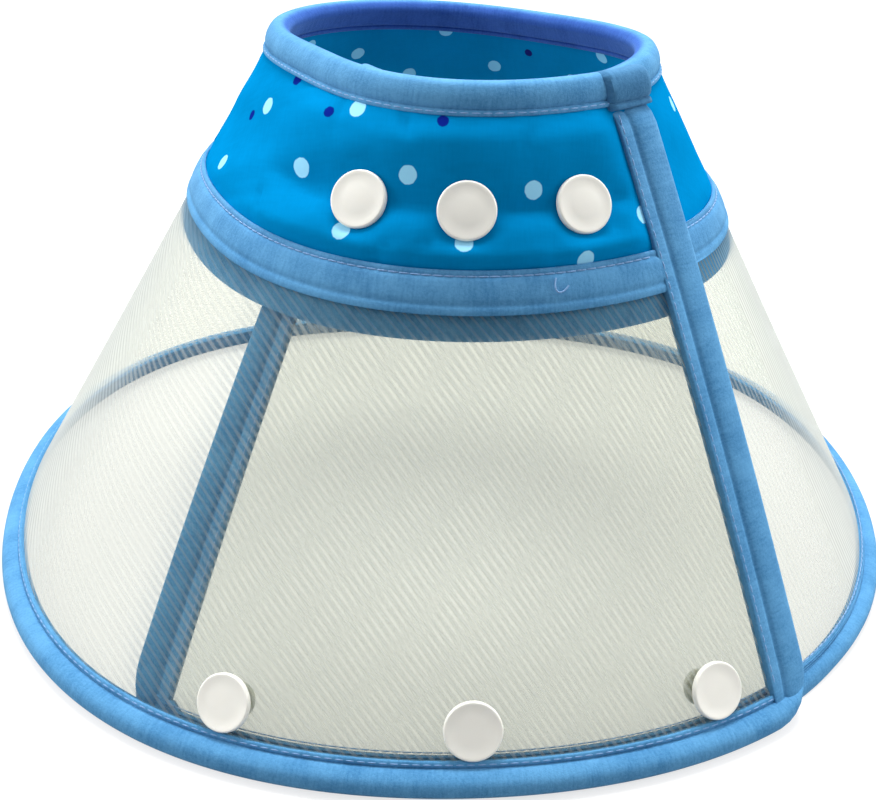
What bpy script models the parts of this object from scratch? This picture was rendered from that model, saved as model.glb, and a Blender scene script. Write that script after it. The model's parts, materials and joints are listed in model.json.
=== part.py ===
"""Elizabethan collar: a translucent film cone on a padded neck band, wrapped and closed by six press snaps.

The cone stands on its wide rim. Z is up, the overlap faces -Y and the origin is at the middle of the base.
Places on the cone are given by an azimuth (degrees from the front, positive towards +X), a slant distance
(metres down the side from the neck edge) and a height (metres outwards from the outermost sheet's face).
"""
from math import cos, hypot, pi, radians, sin

import bmesh
import bpy
from mathutils import Vector

MM = 0.001

# Driving dimensions of the cone.
RIM_RADIUS = 125.0 * MM
NECK_RADIUS = 48.2 * MM
HEIGHT = 136.0 * MM
SLANT = hypot(HEIGHT, RIM_RADIUS - NECK_RADIUS)

# The soft rings aren't quite round: each wave has its order round the ring, its size and a peak's azimuth.
# The neck sits off the rim's centre and is a little higher at the front.
# The base is shifted to bring the middle of the whole collar over the origin.
NECK_WAVES = ((2, 4.3 * MM, 45.3), (3, 2.6 * MM, -13.3), (4, 0.7 * MM, -12.5))
RIM_WAVES = ((2, 1.4 * MM, 88.1), (3, 1.8 * MM, -7.4), (4, 2.5 * MM, -42.7))
NECK_LEAN = Vector((3.5, 0.0, 0.0)) * MM
NECK_TILT = 2.0 * MM
BASE_SHIFT = Vector((0.9, 2.5, 0.0)) * MM

# Clearance between neighbouring pieces, and half the clearance at a hinge line, in degrees.
GAP = 0.3 * MM
HINGE_GAP = 0.2

# Sheet thicknesses.
COVER = 0.5 * MM
PADDING = 1.0 * MM
LINING = 0.5 * MM
FILM = 0.5 * MM
TAPE = 0.8 * MM
BAND = COVER + GAP + PADDING + GAP + LINING

# Widths of the fabric tapes, and where the neck band meets the film.
NECK_TAPE = 7.6 * MM
RIM_TAPE = 7.0 * MM
END_TAPE = 11.6 * MM
SEAM_TOP = 41.1 * MM
OUTER_SEAM_TAPE = 9.8 * MM
INNER_SEAM_TAPE = 15.5 * MM
BAND_END = SEAM_TOP + 4.0 * MM
FILM_START = BAND_END + 0.5 * MM
SEAM_STEP = 1.2 * MM
EDGE_INSET = TAPE + 2 * GAP
FOOT_THICKNESS = 1.9 * MM

# Azimuths of the two film hinges and of the two ends of the wrap, at the neck and at the rim.
LEFT_HINGE = -46.0
RIGHT_HINGE = 46.0
OUTER_END = (49.9, 44.6)
INNER_END = (-42.5, -36.6)

# Press snaps: azimuths at the neck and near the rim, and the sizes of their pieces.
SNAP_COLUMNS = {"left": (-21.7, -23.8), "middle": (0.6, 3.6), "right": (24.6, 32.0)}
NECK_SNAP_SLANT = 0.180 * SLANT
RIM_SNAP_SLANT = 0.906 * SLANT
SNAP_SEGMENTS = 12
CAP_RADIUS = 6.6 * MM
BACK_CAP_RADIUS = 4.2 * MM
CAP_HEIGHT = 1.5 * MM
CAP_BEVEL = 0.6 * MM
CAP_DOME = 0.35 * MM
POST_RADIUS = 1.1 * MM
HOLE_RADIUS = 1.5 * MM
SOCKET_RADIUS = 4.5 * MM
SOCKET_BORE = 2.1 * MM
SOCKET_HEIGHT = 0.85 * MM
STUD_RADIUS = 4.2 * MM
STUD_HEAD_RADIUS = 1.6 * MM
STUD_FLANGE = 0.6 * MM
SNAP_SPACE = 3.1 * MM
HOLLOW_CLEARANCE = 0.8 * MM

# The common grid of rows down the slant, which keeps the facets of all layers parallel.
ROW_COUNT = 6
ROW_MARGIN = 2.0 * MM

# Facets round the main stretch and round each flap.
MAIN_COLUMNS = 38
FLAP_COLUMNS = 16

# The outer hinge's axis lies just outside every tape, and the inner one's just inside every tape.
OUTER_AXIS_HEIGHT = GAP + TAPE + 0.1 * MM
INNER_AXIS_DEPTH = BAND + GAP + TAPE + 0.1 * MM

# Colour and roughness of each kind of material.
FINISHES = {
    "film": ((0.67, 0.66, 0.60), 0.45),
    "printed_fabric": ((0.01, 0.35, 0.84), 0.85),
    "lining_fabric": ((0.0, 0.11, 0.24), 0.9),
    "binding_tape": ((0.07, 0.27, 0.60), 0.95),
    "padding_foam": ((0.85, 0.85, 0.82), 0.95),
    "snap_plastic": ((0.86, 0.85, 0.80), 0.25),
}


def mix(first, second, share):
    return first + (second - first) * share


def waved(radius, waves, azimuth):
    return radius + sum(size * cos(order * radians(azimuth - peak)) for order, size, peak in waves)


def ring_point(radius, azimuth):
    angle = radians(azimuth)
    return Vector((radius * sin(angle), -radius * cos(angle), 0.0))


def neck_point(azimuth):
    level = ring_point(waved(NECK_RADIUS, NECK_WAVES, azimuth), azimuth)
    height = HEIGHT + NECK_TILT * cos(radians(azimuth))
    return level + NECK_LEAN + BASE_SHIFT + Vector((0.0, 0.0, height))


def rim_point(azimuth):
    return ring_point(waved(RIM_RADIUS, RIM_WAVES, azimuth), azimuth) + BASE_SHIFT


def outward(azimuth):
    """The cone's unit normal at an azimuth, the same from neck to rim so that offset lines stay straight."""
    after = neck_point(azimuth + 1.0) + rim_point(azimuth + 1.0)
    before = neck_point(azimuth - 1.0) + rim_point(azimuth - 1.0)
    along = rim_point(azimuth) - neck_point(azimuth)
    return along.cross(after - before).normalized()


def cone_point(azimuth, slant, height, sinking=0.0):
    """A point over the cone's face, or over one that sinks level inwards by a share of the lap."""
    normal = outward(azimuth)
    level = ring_point(1.0, azimuth)
    line = neck_point(azimuth).lerp(rim_point(azimuth), slant / SLANT)
    return line - level * (sinking * lap(slant) / level.dot(normal)) + normal * height


def lap(slant):
    """How deep the inner end lies under the outer one: the sheets between them plus the snaps' own height."""
    share = (slant - NECK_SNAP_SLANT) / (RIM_SNAP_SLANT - NECK_SNAP_SLANT)
    return mix(BAND + SNAP_SPACE, FILM + SNAP_SPACE, share)


def flat_on_top(azimuth):
    return 0.0


def under_the_lap(azimuth):
    return 1.0


def winding_in(azimuth):
    """The main stretch starts under the lap at the right hinge and comes out on top at the left one."""
    share = (azimuth - RIGHT_HINGE) / (LEFT_HINGE + 360.0 - RIGHT_HINGE)
    return 1.0 - share * share * (3.0 - 2.0 * share)


class Sector:
    """One stretch of the wrapped cone, faceted by equal columns between its two ends."""

    def __init__(self, name, start, end, columns, free_end, depth):
        self.name = name
        self.start = start
        self.end = end
        self.columns = columns
        self.free_end = free_end
        self.depth = depth

    def azimuth(self, fraction, slant):
        share = slant / SLANT
        return mix(mix(*self.start, share), mix(*self.end, share), fraction)

    def arc(self, slant):
        radius = mix(NECK_RADIUS, RIM_RADIUS, slant / SLANT)
        return radius * radians(self.azimuth(1.0, slant) - self.azimuth(0.0, slant))

    def column_point(self, index, slant, height):
        azimuth = self.azimuth(index / self.columns, slant)
        return cone_point(azimuth, slant, height, self.depth(azimuth))

    def point(self, fraction, slant, height):
        """A point on the faceted cone, straight between two columns."""
        index = min(int(fraction * self.columns), self.columns - 1)
        left = self.column_point(index, slant, height)
        right = self.column_point(index + 1, slant, height)
        return left.lerp(right, fraction * self.columns - index)

    def foot(self, fraction, height):
        """The point where a line at this height under the cone's face meets the ground."""
        top = self.point(fraction, 0.0, height)
        bottom = self.point(fraction, SLANT, height)
        return top.lerp(bottom, top.z / (top.z - bottom.z))

    def inset(self, distance, slant):
        """The fraction that lies a distance in from the free end."""
        share = distance / self.arc(slant)
        return share if self.free_end == "start" else 1.0 - share

    def section_places(self, distance, slant):
        """Functions from slant to fraction, one for each section of a piece short of the free end."""
        columns = [index / self.columns for index in range(self.columns + 1)]
        if self.free_end is None:
            return [lambda slant, share=share: share for share in columns]
        edge = self.inset(distance, slant)
        margin = 0.25 / self.columns
        if self.free_end == "start":
            kept = [share for share in columns if share > edge + margin]
        else:
            kept = [share for share in columns if share < edge - margin]
        places = [lambda slant, share=share: share for share in kept]
        at_edge = [lambda slant: self.inset(distance, slant)]
        return at_edge + places if self.free_end == "start" else places + at_edge


def new_solid(name, mesh_data, finish):
    """An object from a bmesh, with its faces turned out and a material of its own."""
    bmesh.ops.recalc_face_normals(mesh_data, faces=mesh_data.faces)
    mesh = bpy.data.meshes.new(name)
    mesh_data.to_mesh(mesh)
    mesh_data.free()
    solid = bpy.data.objects.new(name, mesh)
    bpy.context.scene.collection.objects.link(solid)
    colour, roughness = FINISHES[finish]
    material = bpy.data.materials.new(name + "_material")
    material.use_nodes = True
    shader = material.node_tree.nodes["Principled BSDF"]
    shader.inputs["Base Color"].default_value = (*colour, 1.0)
    shader.inputs["Roughness"].default_value = roughness
    shader.inputs["Metallic"].default_value = 0.0
    mesh.materials.append(material)
    return solid


def loft(name, sections, finish):
    """A closed solid through sections of equal length, with a cap on each end."""
    mesh_data = bmesh.new()
    rings = [[mesh_data.verts.new(point) for point in section] for section in sections]
    for ring, following in zip(rings, rings[1:]):
        for index in range(len(ring)):
            after = (index + 1) % len(ring)
            mesh_data.faces.new((ring[index], ring[after], following[after], following[index]))
    mesh_data.faces.new(reversed(rings[0]))
    mesh_data.faces.new(rings[-1])
    return new_solid(name, mesh_data, finish)


def rows_between(top, bottom):
    """Slant distances from top to bottom, with one wherever the common grid has a row."""
    grid = [SLANT * row / ROW_COUNT for row in range(1, ROW_COUNT)]
    return [top] + [row for row in grid if top + ROW_MARGIN < row < bottom - ROW_MARGIN] + [bottom]


def sheet_profile(top, bottom, face, thickness):
    rows = rows_between(top, bottom)
    outside = [(slant, face) for slant in rows]
    inside = [(slant, face - thickness) for slant in reversed(rows)]
    return outside + inside


def neck_binding_profile():
    """A tape folded over the band's upper edge."""
    face = GAP + TAPE
    back = -BAND - GAP - TAPE
    outside = [(NECK_TAPE, face), (TAPE, face), (0.0, face - TAPE), (0.0, back + TAPE), (TAPE, back)]
    inside = [(NECK_TAPE, back), (NECK_TAPE, back + TAPE), (TAPE, back + TAPE), (TAPE, GAP)]
    return outside + inside + [(NECK_TAPE, GAP)]


def inner_seam_profile():
    """A tape that steps from the back of the band up to the back of the film."""
    band_face = -BAND - GAP
    film_face = -FILM - GAP
    bottom = SEAM_TOP + INNER_SEAM_TAPE
    step_start = FILM_START + GAP
    step_end = step_start + SEAM_STEP
    outside = [(SEAM_TOP, band_face), (step_start, band_face), (step_end, film_face), (bottom, film_face)]
    inside = [(slant + GAP, height - TAPE) for slant, height in reversed(outside[1:3])]
    return outside + [(bottom, film_face - TAPE)] + inside + [(SEAM_TOP, band_face - TAPE)]


def swept(name, sector, profile, inset, finish):
    """A solid of constant profile, given as slant and height, swept round a sector."""
    middle = sum(slant for slant, height in profile) / len(profile)
    sections = []
    for place in sector.section_places(inset, middle):
        sections.append([sector.point(place(slant), slant, height) for slant, height in profile])
    return loft(name, sections, finish)


def rim_binding(sector):
    """A tape folded under the film's lower edge, cut flat where it stands on the ground."""
    top = SLANT - RIM_TAPE
    fold = SLANT - FOOT_THICKNESS
    face = GAP + TAPE
    back = -FILM - GAP - TAPE
    pocket = [(top, back), (top, back + TAPE), (fold, back + TAPE), (fold, GAP), (top, GAP), (top, face)]
    sections = []
    for place in sector.section_places(END_TAPE + GAP, SLANT):
        ground = [sector.foot(place(SLANT), face), sector.foot(place(SLANT), back)]
        sections.append(ground + [sector.point(place(slant), slant, height) for slant, height in pocket])
    return loft(sector.name + "_rim_binding", sections, "binding_tape")


def end_binding(sector):
    """A tape folded over a free end of the wrap, from under the neck binding to the ground."""
    face = GAP + TAPE
    step_start = FILM_START + GAP
    rows = rows_between(NECK_TAPE + GAP, SLANT)
    rows = [row for row in rows if abs(row - step_start) > ROW_MARGIN] + [BAND_END, step_start + SEAM_STEP]
    sections = []
    for slant in sorted(rows):
        sheet = BAND if slant <= BAND_END else FILM
        back = -sheet - GAP - TAPE
        outline = [(0.0, face), (END_TAPE, face), (END_TAPE, GAP), (TAPE, GAP)]
        outline += [(TAPE, back + TAPE), (END_TAPE, back + TAPE), (END_TAPE, back), (0.0, back)]
        if slant == SLANT:
            sections.append([sector.foot(sector.inset(across, slant), height) for across, height in outline])
        else:
            sections.append([sector.point(sector.inset(across, slant), slant, height)
                             for across, height in outline])
    return loft(sector.name + "_end_binding", sections, "binding_tape")


def neck_band(sector):
    """Cover, padding and lining, one behind the other, and the tape over their upper edge."""
    padding_face = -COVER - GAP
    lining_face = padding_face - PADDING - GAP
    layers = {"cover": (0.0, COVER, "printed_fabric"),
              "padding": (padding_face, PADDING, "padding_foam"),
              "lining": (lining_face, LINING, "lining_fabric")}
    solids = []
    for layer, (face, thickness, finish) in layers.items():
        profile = sheet_profile(EDGE_INSET, BAND_END, face, thickness)
        solids.append(swept(f"{sector.name}_neck_{layer}", sector, profile, EDGE_INSET, finish))
    swept(sector.name + "_neck_binding", sector, neck_binding_profile(), 0.0, "binding_tape")
    return solids


def seam_bindings(sector):
    outer = sheet_profile(SEAM_TOP, SEAM_TOP + OUTER_SEAM_TAPE, GAP + TAPE, TAPE)
    swept(sector.name + "_seam_binding_outer", sector, outer, END_TAPE + GAP, "binding_tape")
    swept(sector.name + "_seam_binding_inner", sector, inner_seam_profile(), END_TAPE + GAP, "binding_tape")


def film_panel(sector):
    bottom = SLANT - FOOT_THICKNESS - GAP
    profile = sheet_profile(FILM_START, bottom, 0.0, FILM)
    return swept(sector.name + "_panel", sector, profile, EDGE_INSET, "film")


def ring_of_points(centre, axis, radius, height):
    """Points round an axis, or the one point on it where the radius is nothing."""
    middle = centre + axis * height
    if radius == 0.0:
        return [middle]
    side = axis.orthogonal().normalized() * radius
    other = axis.cross(side)
    angles = [2 * pi * index / SNAP_SEGMENTS for index in range(SNAP_SEGMENTS)]
    return [middle + side * cos(angle) + other * sin(angle) for angle in angles]


def turned_faces(mesh_data, centre, axis, profile, closed):
    """Faces of a profile of radius and height turned round an axis."""
    rings = [[mesh_data.verts.new(point) for point in ring_of_points(centre, axis, radius, height)]
             for radius, height in profile]
    pairs = list(zip(rings, rings[1:]))
    if closed:
        pairs.append((rings[-1], rings[0]))
    for ring, following in pairs:
        for index in range(SNAP_SEGMENTS):
            after = (index + 1) % SNAP_SEGMENTS
            corners = [ring[index % len(ring)], ring[after % len(ring)],
                       following[after % len(following)], following[index % len(following)]]
            mesh_data.faces.new(list(dict.fromkeys(corners)))


def turned(name, centre, axis, profile, closed=False):
    mesh_data = bmesh.new()
    turned_faces(mesh_data, centre, axis, profile, closed)
    solid = new_solid(name, mesh_data, "snap_plastic")
    solid.data.shade_smooth()
    solid.data.set_sharp_from_angle(angle=radians(40.0))
    return solid


def cap_profile(radius, post_end, seat, direction, dome):
    """A post, a flat underside, a bevelled edge and a top, growing from the seat along a direction."""
    top = seat + direction * CAP_HEIGHT
    shoulder = top - direction * CAP_BEVEL
    return [(0.0, post_end), (POST_RADIUS, post_end), (POST_RADIUS, seat), (radius, seat),
            (radius, shoulder), (radius - CAP_BEVEL, top), (0.0, top + direction * dome)]


def snap(name, azimuth, slant, sheet, dome):
    """A press snap's four pieces: cap and socket on the outer end, stud and back cap on the inner one."""
    centre = cone_point(azimuth, slant, 0.0)
    axis = outward(azimuth)
    back = -sheet
    socket_top = back - HOLLOW_CLEARANCE
    socket_bottom = socket_top - SOCKET_HEIGHT
    stud_top = socket_bottom - GAP
    stud_bottom = stud_top - STUD_FLANGE
    post_end = socket_top - 0.1 * MM
    head_end = post_end - GAP
    inner_back = back - SNAP_SPACE - sheet
    back_cap_seat = inner_back - HOLLOW_CLEARANCE - 0.1 * MM
    socket = [(SOCKET_BORE, socket_top), (SOCKET_RADIUS, socket_top),
              (SOCKET_RADIUS, socket_bottom), (SOCKET_BORE, socket_bottom)]
    stud = [(0.0, stud_bottom), (STUD_RADIUS, stud_bottom), (STUD_RADIUS, stud_top),
            (STUD_HEAD_RADIUS, stud_top), (STUD_HEAD_RADIUS, head_end), (0.0, head_end)]
    cap = cap_profile(CAP_RADIUS, post_end, GAP, 1.0, dome)
    back_cap = cap_profile(BACK_CAP_RADIUS, stud_bottom - GAP, back_cap_seat, -1.0, 0.0)
    outer_end = [turned(name + "_cap", centre, axis, cap),
                 turned(name + "_socket", centre, axis, socket, closed=True)]
    inner_end = [turned(name + "_stud", centre, axis, stud),
                 turned(name + "_back_cap", centre, axis, back_cap)]
    return outer_end, inner_end


def hole_cutter(name, places):
    """Round bars through both ends of the wrap, one at each place of azimuth and slant."""
    mesh_data = bmesh.new()
    for azimuth, slant in places:
        reach = 2 * BAND + SNAP_SPACE + CAP_HEIGHT
        bar = [(0.0, -reach), (HOLE_RADIUS, -reach), (HOLE_RADIUS, CAP_HEIGHT), (0.0, CAP_HEIGHT)]
        turned_faces(mesh_data, cone_point(azimuth, slant, 0.0), outward(azimuth), bar, closed=False)
    cutter = new_solid(name, mesh_data, "snap_plastic")
    cutter.hide_render = True
    cutter.display_type = "WIRE"
    return cutter


def punch(solids, cutter):
    for solid in solids:
        cut = solid.modifiers.new("snap_holes", "BOOLEAN")
        cut.operation = "DIFFERENCE"
        cut.solver = "EXACT"
        cut.object = cutter


def hinge_frame(azimuth, height, sinking):
    """Where a film hinge runs: its point half way down, and its direction from neck to rim."""
    top = cone_point(azimuth, 0.0, height, sinking)
    bottom = cone_point(azimuth, SLANT, height, sinking)
    return top.lerp(bottom, 0.5), (bottom - top).normalized()


def outer_hinge():
    return hinge_frame(LEFT_HINGE, OUTER_AXIS_HEIGHT, flat_on_top(LEFT_HINGE))


def inner_hinge():
    return hinge_frame(RIGHT_HINGE, -INNER_AXIS_DEPTH, under_the_lap(RIGHT_HINGE))


def hang_on_hinge(name, hinge, solids):
    """Parents solids to an empty that lies on the hinge's axis, with its Z along it."""
    place, direction = hinge
    empty = bpy.data.objects.new(name, None)
    empty.location = place
    empty.rotation_mode = "QUATERNION"
    empty.rotation_quaternion = direction.to_track_quat("Z", "X")
    bpy.context.scene.collection.objects.link(empty)
    bpy.context.view_layer.update()
    for solid in solids:
        solid.parent = empty
        solid.matrix_parent_inverse = empty.matrix_world.inverted()


def build():
    for leftover in list(bpy.data.objects):
        bpy.data.objects.remove(leftover)

    main = Sector("main", (RIGHT_HINGE + HINGE_GAP,) * 2, (LEFT_HINGE + 360.0 - HINGE_GAP,) * 2,
                  MAIN_COLUMNS, None, winding_in)
    outer = Sector("outer_flap", (LEFT_HINGE + HINGE_GAP,) * 2, OUTER_END,
                   FLAP_COLUMNS, "end", flat_on_top)
    inner = Sector("inner_flap", INNER_END, (RIGHT_HINGE - HINGE_GAP,) * 2,
                   FLAP_COLUMNS, "start", under_the_lap)

    neck_places = [(neck, NECK_SNAP_SLANT) for neck, rim in SNAP_COLUMNS.values()]
    rim_places = [(rim, RIM_SNAP_SLANT) for neck, rim in SNAP_COLUMNS.values()]
    neck_holes = hole_cutter("neck_snap_holes", neck_places)
    rim_holes = hole_cutter("rim_snap_holes", rim_places)

    for sector in (main, outer, inner):
        band = neck_band(sector)
        panel = film_panel(sector)
        seam_bindings(sector)
        rim_binding(sector)
        if sector.free_end:
            end_binding(sector)
            punch(band, neck_holes)
            punch([panel], rim_holes)

    outer_pieces = [solid for solid in bpy.data.objects if solid.name.startswith(outer.name)]
    inner_pieces = [solid for solid in bpy.data.objects if solid.name.startswith(inner.name)]
    for side, (neck, rim) in SNAP_COLUMNS.items():
        for row, azimuth, slant, sheet, dome in (("neck", neck, NECK_SNAP_SLANT, BAND, CAP_DOME),
                                                 ("rim", rim, RIM_SNAP_SLANT, FILM, 0.0)):
            on_outer, on_inner = snap(f"{row}_snap_{side}", azimuth, slant, sheet, dome)
            outer_pieces += on_outer
            inner_pieces += on_inner

    hang_on_hinge("outer_flap_hinge", outer_hinge(), outer_pieces)
    hang_on_hinge("inner_flap_hinge", inner_hinge(), inner_pieces)


build()
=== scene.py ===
"""Looks of the elizabethan collar: ribbed film, a padded printed neck band, knitted tapes and press snaps.

Places on the wrapped cone are given by an azimuth (degrees from the front, positive towards +X), a slant
(metres down the side from the neck edge) and a height (metres outwards from the outermost sheet's face).
The wrap is one spiral. It starts at the inner end under the front, passes the right hinge at 46 degrees, the
back at 180 and the left hinge at 314, and ends on top of the front at about 410 degrees.
"""

import json
from functools import lru_cache
from math import atan2, cos, degrees, exp, hypot, pi, radians, sin, sqrt

import bmesh
import bpy
from mathutils import Matrix, Vector, noise

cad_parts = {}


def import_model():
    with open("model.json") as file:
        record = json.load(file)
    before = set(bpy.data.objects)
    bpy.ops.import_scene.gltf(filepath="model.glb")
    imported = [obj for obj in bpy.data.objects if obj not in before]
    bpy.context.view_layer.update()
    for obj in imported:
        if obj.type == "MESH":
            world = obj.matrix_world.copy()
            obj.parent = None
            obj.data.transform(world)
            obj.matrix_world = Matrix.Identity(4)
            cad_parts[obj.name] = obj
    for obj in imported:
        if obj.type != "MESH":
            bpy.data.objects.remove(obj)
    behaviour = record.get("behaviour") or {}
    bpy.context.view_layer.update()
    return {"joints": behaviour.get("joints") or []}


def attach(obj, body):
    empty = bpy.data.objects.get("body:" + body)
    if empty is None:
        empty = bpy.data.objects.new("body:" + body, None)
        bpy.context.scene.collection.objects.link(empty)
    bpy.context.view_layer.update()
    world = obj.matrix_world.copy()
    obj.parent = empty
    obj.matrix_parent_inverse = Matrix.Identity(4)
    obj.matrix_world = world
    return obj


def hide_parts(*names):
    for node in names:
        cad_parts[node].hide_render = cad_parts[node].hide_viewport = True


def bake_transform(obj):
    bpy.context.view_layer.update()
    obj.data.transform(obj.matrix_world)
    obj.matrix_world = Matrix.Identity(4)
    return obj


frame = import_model()

MM = 0.001

# The cone's own dimensions, as in the CAD part.
RIM_RADIUS = 125.0 * MM
NECK_RADIUS = 48.2 * MM
HEIGHT = 136.0 * MM
SLANT = hypot(HEIGHT, RIM_RADIUS - NECK_RADIUS)
NECK_LEAN = Vector((3.5, 0.0, 0.0)) * MM
NECK_TILT = 2.0 * MM
BASE_SHIFT = Vector((0.9, 2.5, 0.0)) * MM

# The soft rings aren't quite round: each wave has its order round the ring, its size and a peak's azimuth.
NECK_WAVES = ((2, 4.3 * MM, 45.3), (3, 2.6 * MM, -13.3), (4, 0.7 * MM, -12.5))
RIM_WAVES = ((2, 1.4 * MM, 88.1), (3, 1.8 * MM, -7.4), (4, 2.5 * MM, -42.7))

# Layers of the neck band, from the face inwards, and of everything else.
GAP = 0.3 * MM
COVER = 0.5 * MM
PADDING = 1.0 * MM
LINING = 0.5 * MM
FILM = 0.5 * MM
TAPE = 0.8 * MM
BAND = COVER + GAP + PADDING + GAP + LINING
SNAP_SPACE = 3.1 * MM
NECK_DROP = 2.6 * MM

# Tapes.
NECK_TAPE = 7.6 * MM
RIM_TAPE = 8.0 * MM
END_TAPE = 11.6 * MM
SEAM_TOP = 41.1 * MM
OUTER_SEAM_TAPE = 9.8 * MM
INNER_SEAM_TAPE = 15.5 * MM
BAND_END = SEAM_TOP + 4.0 * MM
FILM_START = BAND_END + 0.5 * MM
SEAM_STEP = 1.2 * MM
LAP_TUCK = 0.2
STRIP_SPACING = 2.6 * MM
EDGE_INSET = TAPE + 2 * GAP
CORNER_RADIUS = 13.0 * MM

# How far each tape's roll stands up, and the flatter end tapes.
NECK_BULGE = 0.9 * MM
RIM_BULGE = 2.3 * MM
END_BULGE = 0.8 * MM
END_LIP = 3.6 * MM
END_LIFT = 0.55 * MM
END_TOP = 3.0 * MM
END_STEPS = 60

# The neck tape's folded end.
TAB_WIDTH = 12.5 * MM
TAB_OVERHANG = 0.9 * MM
TAB_PUFF = 0.32
TAB_LIFT = 0.35 * MM
TAB_BACK_LIFT = -0.1 * MM
TAB_STEPS = 14

# Azimuths on the spiral: at the neck and at the rim for the two ends.
FRONT = 360.0
BACK = 180.0
LEFT_HINGE = 314.0
RIGHT_HINGE = 46.0
OUTER_END = (409.9, 404.6)
INNER_END = (-42.5, -36.6)

# Snaps.
SNAP_COLUMNS = {"left": (-21.7, -23.8), "middle": (0.6, 3.6), "right": (24.6, 32.0)}
NECK_SNAP_SLANT = 0.180 * SLANT
RIM_SNAP_SLANT = 0.906 * SLANT
CAP_RADIUS = 6.6 * MM
BACK_CAP_RADIUS = 4.2 * MM
CAP_HEIGHT = 1.5 * MM
CAP_DOME = 0.35 * MM
CAP_LIP = 0.45 * MM
CAP_DISH = 0.16 * MM
POST_RADIUS = 1.1 * MM
SOCKET_RADIUS = 4.5 * MM
SOCKET_BORE = 2.1 * MM
SOCKET_HEIGHT = 0.85 * MM
STUD_RADIUS = 4.2 * MM
STUD_HEAD_RADIUS = 1.6 * MM
STUD_FLANGE = 0.6 * MM
HOLLOW_CLEARANCE = 0.8 * MM
SOFT_EDGE = 0.18 * MM
NECK_CAP_EDGE = 0.55 * MM
RIM_CAP_EDGE = 0.45 * MM
TURN_SEGMENTS = 56

# The padded band: how full it stands at the sides and in front, its lumps, its gathers at the seams, the
# valley along the snaps, and the folds and the flat pad round each snap.
SIDE_FULLNESS = 0.2 * MM
FRONT_FULLNESS = 2.7 * MM
LUMP = 0.6 * MM
GATHER = 0.42 * MM
CREASE_DEPTH = 3.8 * MM
DEEPEST_CREASE = -0.75 * MM
SNAP_FOLD = 0.35 * MM
SNAP_REACH = 22.0 * MM
PAD_RADIUS = 7.6 * MM
PAD_HEIGHT = -0.5 * MM

# Pinched folds: degrees from the front, slant, degrees turned from the slant's direction, and length.
PUCKER_DEPTH = 0.8 * MM
PUCKER_WIDTH = 0.9 * MM
PUCKERS = ((-6.5, 36.0 * MM, -28.0, 6.5 * MM), (5.5, 38.0 * MM, -12.0, 5.0 * MM),
           (17.0, 36.5 * MM, 4.0, 5.5 * MM), (-15.0, 38.0 * MM, -35.0, 6.0 * MM),
           (-33.0, 12.0 * MM, 12.0, 8.0 * MM), (-14.0, 11.0 * MM, 22.0, 6.0 * MM),
           (13.0, 13.0 * MM, -24.0, 7.0 * MM), (31.0, 33.0 * MM, 20.0, 7.0 * MM),
           (-50.0, 36.0 * MM, 30.0, 7.0 * MM))

# The print: dots on a slanted lattice of the flat cloth, with a few cells left blank.
DOT_ALONG = (28.1 * MM, 2.8 * MM)
DOT_ACROSS = (12.9 * MM, 14.8 * MM)
LIGHT_DOT = 2.05 * MM
LIGHT_ORIGIN = (-27.4 * MM, 5.5 * MM)
LIGHT_BLANKS = ((2, 0), (1, 0), (-1, -1), (-2, 0), (-2, 2), (5, -14), (5, -15), (6, -16), (4, -14))
DARK_DOT = 1.3 * MM
DARK_ACROSS = tuple(4 * step for step in DOT_ACROSS)
DARK_ORIGINS = ((-35.1 * MM, 5.9 * MM), (-46.5 * MM, -2.5 * MM))
DARK_BLANKS = ((2, 0), (-1, 0))
DOT_BLUR = 0.12 * MM

# The film's pressed ribs, and how milky it is: in the ribs, between them, at a glancing view and at most.
RIB_PITCH = 1.8 * MM
RIB_TILT = radians(43.0)
RIB_WANDER = 1.2 * MM
RIB_MILK = 0.27
FILM_MILK = (0.06, 0.10)
GLANCING_MILK = 0.65
MOST_MILK = 0.92
FILM_RIPPLE = 0.25 * MM

# Dyes, with painted shade: darker tab dyes and a darker blue for the neck tape's inside.
TAPE_DYES = ((0.040, 0.175, 0.37), (0.098, 0.30, 0.54))
# The tab's dyes are the tape's made about 0.6 times as bright: painted shade for the folded tab at the top
# front.
TAB_PAINTED_SHADE_DYES = ((0.022, 0.105, 0.23), (0.058, 0.19, 0.36))
# Painted shade for the neck tape's inside: a darker blue multiplied into the tape's colour.
INSIDE_PAINTED_SHADE = (0.36, 0.36, 0.80, 1.0)

# The sheets were cut flat as parts of a ring: a share of the azimuth is the angle on the flat sheet.
FLAT_SHARE = (RIM_RADIUS - NECK_RADIUS) / SLANT
FLAT_NECK_RADIUS = NECK_RADIUS / FLAT_SHARE
CLOTH_DRAWN_IN = 9.5

# Thread and stitches.
STITCH = 2.3 * MM
STITCH_PITCH = 2.42 * MM
THREAD = 0.17 * MM
STITCH_RINGS = 5
STITCH_SIDES = 6

# Meshes.
CURVE_STEPS = 3
SHARP_EDGE = radians(50.0)
SHARP_TURNED_EDGE = radians(32.0)

# The studio.
FLOOR_RADIUS = 6.0
FLOOR_GLOW = 0.2
GLOW_TO_CAMERA = 0.5
GLOW_THROUGH_FILM = 0.75
FOCAL_LENGTH = 58.56
SENSOR_WIDTH = 36.0
CAMERA_PLACE = BASE_SHIFT + Vector((0.0, -2.85, 1.775)) * RIM_RADIUS
CAMERA_DOWN = 27.94
CAMERA_ROLL = 1.39
CAMERA_TURN = 0.32


def mix(first, second, share):
    return first + (second - first) * share


def smooth(value, low, high):
    share = min(1.0, max(0.0, (value - low) / (high - low)))
    return share * share * (3.0 - 2.0 * share)


def ring_point(radius, azimuth):
    angle = radians(azimuth)
    return Vector((radius * sin(angle), -radius * cos(angle), 0.0))


def waved(radius, waves, azimuth):
    return radius + sum(size * cos(order * radians(azimuth - peak)) for order, size, peak in waves)


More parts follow.
